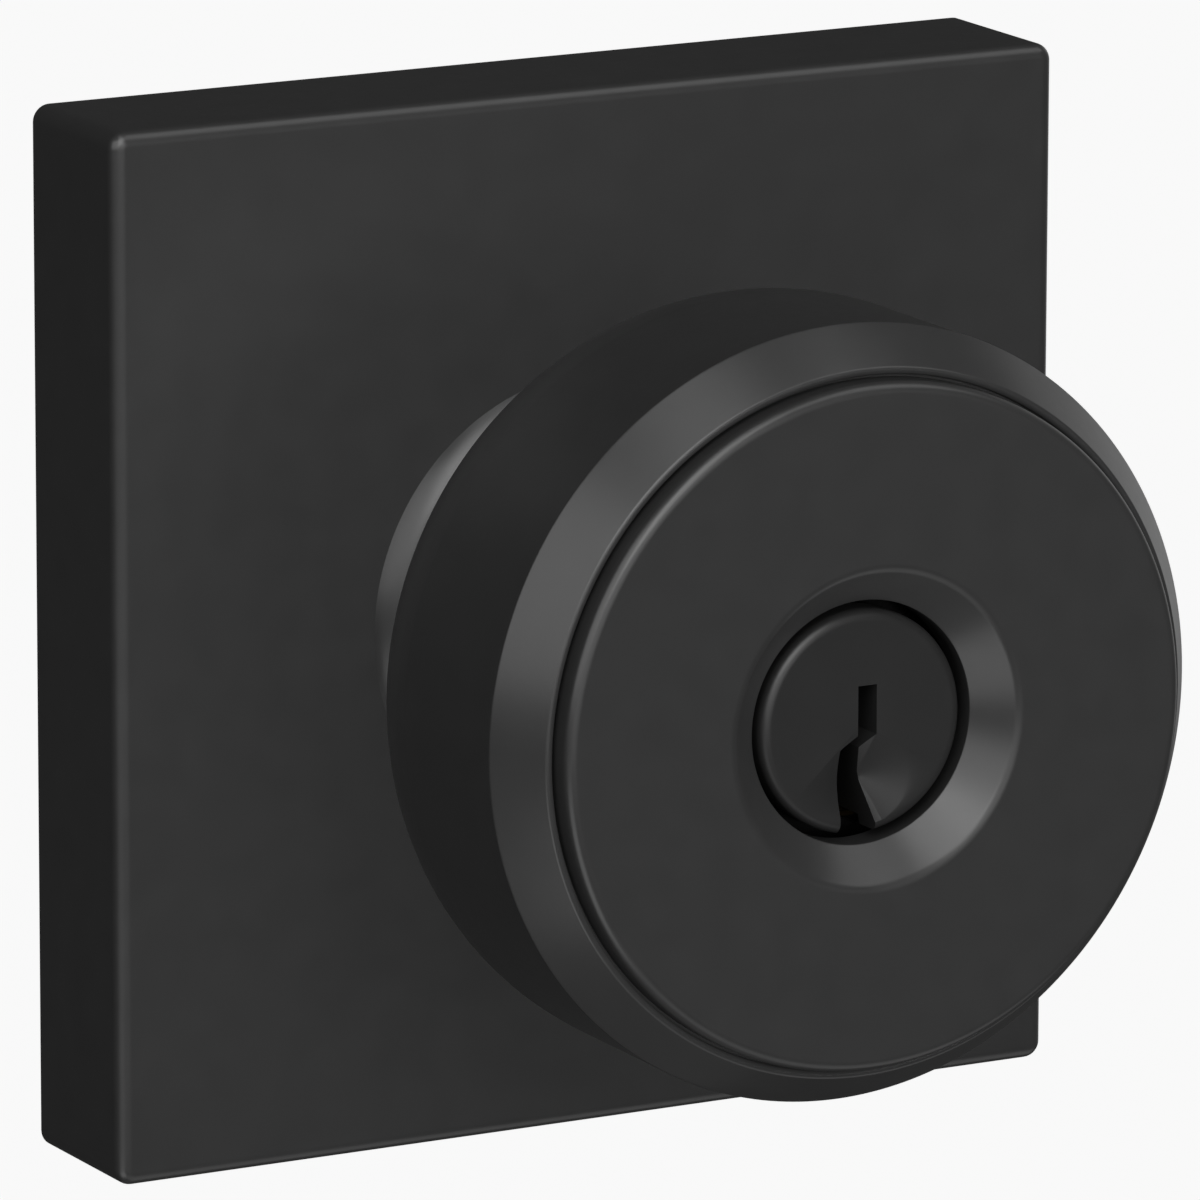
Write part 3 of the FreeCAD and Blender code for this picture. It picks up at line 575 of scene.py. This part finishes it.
# ---- Plug ----
def plug_front():
    """The plug with its stepped keyway and the round pocket at the keyway's mouth."""
    cylinder_back = -box_mm("cylinder_body")[1].y
    shoulder = plug_face - PLUG_HEAD_THICK
    outline = rounded([
        (AXIS_R, -plug_high.y),
        (PLUG_STUB_R, -plug_high.y),
        (PLUG_STUB_R, cylinder_back),
        (PLUG_R, cylinder_back),
        (PLUG_R, shoulder),
        (plug_head_r, shoulder),
        (plug_head_r, plug_face, PLUG_HEAD_EDGE),
        (AXIS_R, plug_face),
    ])
    piece = lathe("plug_key_face", outline, PLUG_SEGMENTS)
    below = -plug_head_r - 1
    keyway = prism("keyway", [
        (KEYWAY_LEFT, KEYWAY_TOP),
        (KEYWAY_RIGHT, KEYWAY_TOP),
        (KEYWAY_RIGHT, KEYWAY_STEP),
        (KEYWAY_WAIST, 2 * KEYWAY_STEP),
        (KEYWAY_FOOT_RIGHT, below),
        (KEYWAY_FOOT_LEFT, below),
        (KEYWAY_FOOT_LEFT, 2 * KEYWAY_STEP),
        (KEYWAY_LEFT, KEYWAY_STEP),
    ], cylinder_back + KEYWAY_FLOOR, plug_face + 1)
    cut(piece, keyway, PLUG_SHARP_ANGLE)
    tip = plug_face - POCKET_DEPTH
    pocket = cone_tool("pocket", POCKET_X, POCKET_Z, POCKET_TIP_R, tip,
                       POCKET_R + POCKET_PAST_R, plug_face + POCKET_PAST_FACE, POCKET_SEGMENTS)
    cut(piece, pocket, PLUG_SHARP_ANGLE)
    stands_for(piece, "black_plug", "plug")
    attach(piece, "plug")


# ---- Catch spring ----
def catch_leaf():
    """The leaf that lifts the catch. Its foot stays on the tube."""
    low, high = box_mm("catch_spring")
    slope_start = -high.y + LEAF_FOOT
    slope_end = slope_start + LEAF_SLOPE
    seat = high.z - LEAF_THICK
    flat = -low.y - slope_end
    steps = 24
    line = [(-high.y, low.z)]
    for index in range(steps + 1):
        share = index / steps
        ease = share * share * (3 - 2 * share)
        line.append((slope_start + LEAF_SLOPE * share, low.z + (seat - low.z) * ease))
    for index in range(1, steps + 1):
        line.append((slope_end + flat * index / steps, seat))
    corners = ((low.x, 0), (high.x, 0), (high.x, LEAF_THICK), (low.x, LEAF_THICK))
    vertices = [(x, -depth, z + lift) for depth, z in line for x, lift in corners]
    size = len(corners)
    faces = [tuple(range(size)), tuple(range(len(vertices) - size, len(vertices)))]
    for row in range(0, len(vertices) - size, size):
        for index in range(size):
            side = (index + 1) % size
            faces.append((row + index, row + side, row + size + side, row + size + index))
    piece = mesh_object("catch_leaf", vertices, faces)
    stands_for(piece, "spring_steel", "catch_spring")
    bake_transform(piece)


rose()
catch_leaf()
knob_shell()
knob_disc()
plug_front()

# ---- The CAD nodes keep their shapes and take their slots' materials ----
for entry in frame["record"]["subparts"]:
    node = frame["nodes"][entry["node"]]
    node.data.materials.clear()
    node.data.materials.append(MATERIALS[entry["material_slot"]])

# ---- Studio floor, in metres ----
FLOOR_HEIGHT = -0.3
FLOOR_HALF = 4.0
PAPER = 0.94
corners = [(x * FLOOR_HALF, y * FLOOR_HALF, FLOOR_HEIGHT) for x, y in ((-1, -1), (1, -1), (1, 1), (-1, 1))]
floor = bpy.data.objects.new("floor", bpy.data.meshes.new("floor"))
floor.data.from_pydata(corners, [], [(0, 1, 2, 3)])
bpy.context.scene.collection.objects.link(floor)
paper = Surface("paper_floor")
paper.set(roughness=1.0)
paper.use("Base Color", paper.blend(paper.noise(3), (0.19, 0.19, 0.19), (0.2, 0.2, 0.2)))
paper.shader.inputs["Emission Color"].default_value = (1, 1, 1, 1)
paper.shader.inputs["Emission Strength"].default_value = PAPER
floor.data.materials.append(paper.material)
floor.visible_glossy = False
floor.visible_diffuse = False
floor.visible_shadow = False

# ---- Camera ----
CAMERA_PLACE = Vector((-0.350967, -0.656626, 0.169793))
CAMERA_RIGHT = Vector((0.87866, -0.47745, 0.00243))
CAMERA_UP = Vector((0.10557, 0.19924, 0.97425))
CAMERA_LENS = 358.2
CAMERA_SENSOR = 36
CAMERA_SHIFT_X = 0.00458
CAMERA_SHIFT_Y = 0.01133
CAMERA_NEAR = 0.01
camera = bpy.data.objects.new("camera", bpy.data.cameras.new("camera"))
camera.data.sensor_width = CAMERA_SENSOR
camera.data.lens = CAMERA_LENS
camera.data.shift_x = CAMERA_SHIFT_X
camera.data.shift_y = CAMERA_SHIFT_Y
camera.data.clip_start = CAMERA_NEAR
camera_back = CAMERA_RIGHT.cross(CAMERA_UP)
facing = Matrix((CAMERA_RIGHT, CAMERA_UP, camera_back)).transposed().to_4x4()
camera.matrix_world = Matrix.Translation(CAMERA_PLACE) @ facing
bpy.context.scene.collection.objects.link(camera)
bpy.context.scene.camera = camera

# ---- Lamps ----
LAMP_DISTANCE = 2.0


def soft_box(name, azimuth, elevation, width, height, radiance):
    """A soft panel that faces the knob. Its place and its size are angles seen from the knob."""
    turn = math.radians(azimuth)
    lift = math.radians(elevation)
    away = Vector((math.cos(turn) * math.cos(lift), math.sin(turn) * math.cos(lift), math.sin(lift)))
    light = bpy.data.lights.new(name, "AREA")
    light.shape = "RECTANGLE"
    light.size = 2 * LAMP_DISTANCE * math.tan(math.radians(width / 2))
    light.size_y = 2 * LAMP_DISTANCE * math.tan(math.radians(height / 2))
    light.energy = math.pi * light.size * light.size_y * radiance
    lamp = bpy.data.objects.new(name, light)
    lamp.location = away * LAMP_DISTANCE
    lamp.rotation_euler = away.to_track_quat("Z", "Y").to_euler()
    lamp.visible_camera = False
    bpy.context.scene.collection.objects.link(lamp)
    return lamp


def lit_only(name, pieces, *lamps):
    """Keeps lamps for some of the pieces."""
    group = bpy.data.collections.new(name)
    for piece in pieces:
        group.objects.link(piece)
    for lamp in lamps:
        lamp.light_linking.receiver_collection = group


pieces = [piece for piece in bpy.context.scene.objects if piece.type == "MESH" and piece != floor]
blacks = (MATERIALS["black_trim"], MATERIALS["black_plug"])
shells = [piece for piece in pieces if piece.data.materials[0] in blacks]
metal = [piece for piece in pieces if piece not in shells]
plug_piece = [piece for piece in shells if piece.name == "plug_key_face"]
front = soft_box("front", 284, 9, 36, 25, 14.9)
front.data.use_shadow = False
front_plug = soft_box("front_plug", 275, 9, 36, 25, 9.5)
keyway_fill = soft_box("keyway_fill", 275, 9, 36, 25, 5.0)
keyway_fill.data.use_shadow = False
for lamp in (front, front_plug, keyway_fill):
    lamp.visible_glossy = False
lit_only("plug_only", plug_piece, front_plug, keyway_fill)
lit_only("open_shells", [piece for piece in shells if piece not in plug_piece], front)
lit_only("shells", shells,
         soft_box("front_soft", 256, 12, 50, 42, 1.35),
         soft_box("key", 248, 47, 34, 46, 3.5),
         soft_box("left", 206, 27, 56, 50, 2.0),
         soft_box("right", 24, 4, 34, 44, 0.33),
         soft_box("right_high", 22, 18, 14, 26, 0.2),
         soft_box("back_right", 38, -4, 18, 24, 0.3),
         soft_box("top_right", 326, 55, 30, 36, 1.4),
         soft_box("left_bounce", 214, -38, 36, 38, 1.75),
         soft_box("front_bounce", 306, -59, 69, 30, 0.6),
         soft_box("overhead", 220, 80, 24, 18, 1.6),
         soft_box("floor_bounce", 200, -84, 50, 50, 0.13))
lit_only("metal", metal,
         soft_box("metal_back", 60, -22, 60, 60, 0.9),
         soft_box("metal_right", 335, 5, 70, 60, 0.7),
         soft_box("metal_left", 205, 0, 70, 70, 0.7),
         soft_box("metal_top", 260, 60, 60, 50, 1.2))

# ---- World: the paper's white to the camera, and a faint glow from behind for the rest ----
GLOW = 0.05
GLOW_FROM = -0.6
GLOW_TO = 0.3
world = bpy.data.worlds.new("studio")
bpy.context.scene.world = world
world.use_nodes = True
sky = world.node_tree
sky.nodes.clear()
direction = sky.nodes.new("ShaderNodeTexCoord").outputs["Generated"]
parts = sky.nodes.new("ShaderNodeSeparateXYZ")
sky.links.new(direction, parts.inputs["Vector"])
ramp = sky.nodes.new("ShaderNodeMapRange")
ramp.interpolation_type = "SMOOTHSTEP"
ramp.inputs["From Min"].default_value = GLOW_FROM
ramp.inputs["From Max"].default_value = GLOW_TO
ramp.inputs["To Min"].default_value = 0.0
ramp.inputs["To Max"].default_value = GLOW
sky.links.new(parts.outputs["Y"], ramp.inputs["Value"])
glow = sky.nodes.new("ShaderNodeBackground")
sky.links.new(ramp.outputs["Result"], glow.inputs["Strength"])
seen = sky.nodes.new("ShaderNodeBackground")
seen.inputs["Color"].default_value = (1, 1, 1, 1)
seen.inputs["Strength"].default_value = PAPER
chooser = sky.nodes.new("ShaderNodeMixShader")
path = sky.nodes.new("ShaderNodeLightPath")
sky.links.new(path.outputs["Is Camera Ray"], chooser.inputs["Fac"])
sky.links.new(glow.outputs["Background"], chooser.inputs[1])
sky.links.new(seen.outputs["Background"], chooser.inputs[2])
output = sky.nodes.new("ShaderNodeOutputWorld")
sky.links.new(chooser.outputs["Shader"], output.inputs["Surface"])
bpy.context.scene.view_settings.view_transform = "Standard"
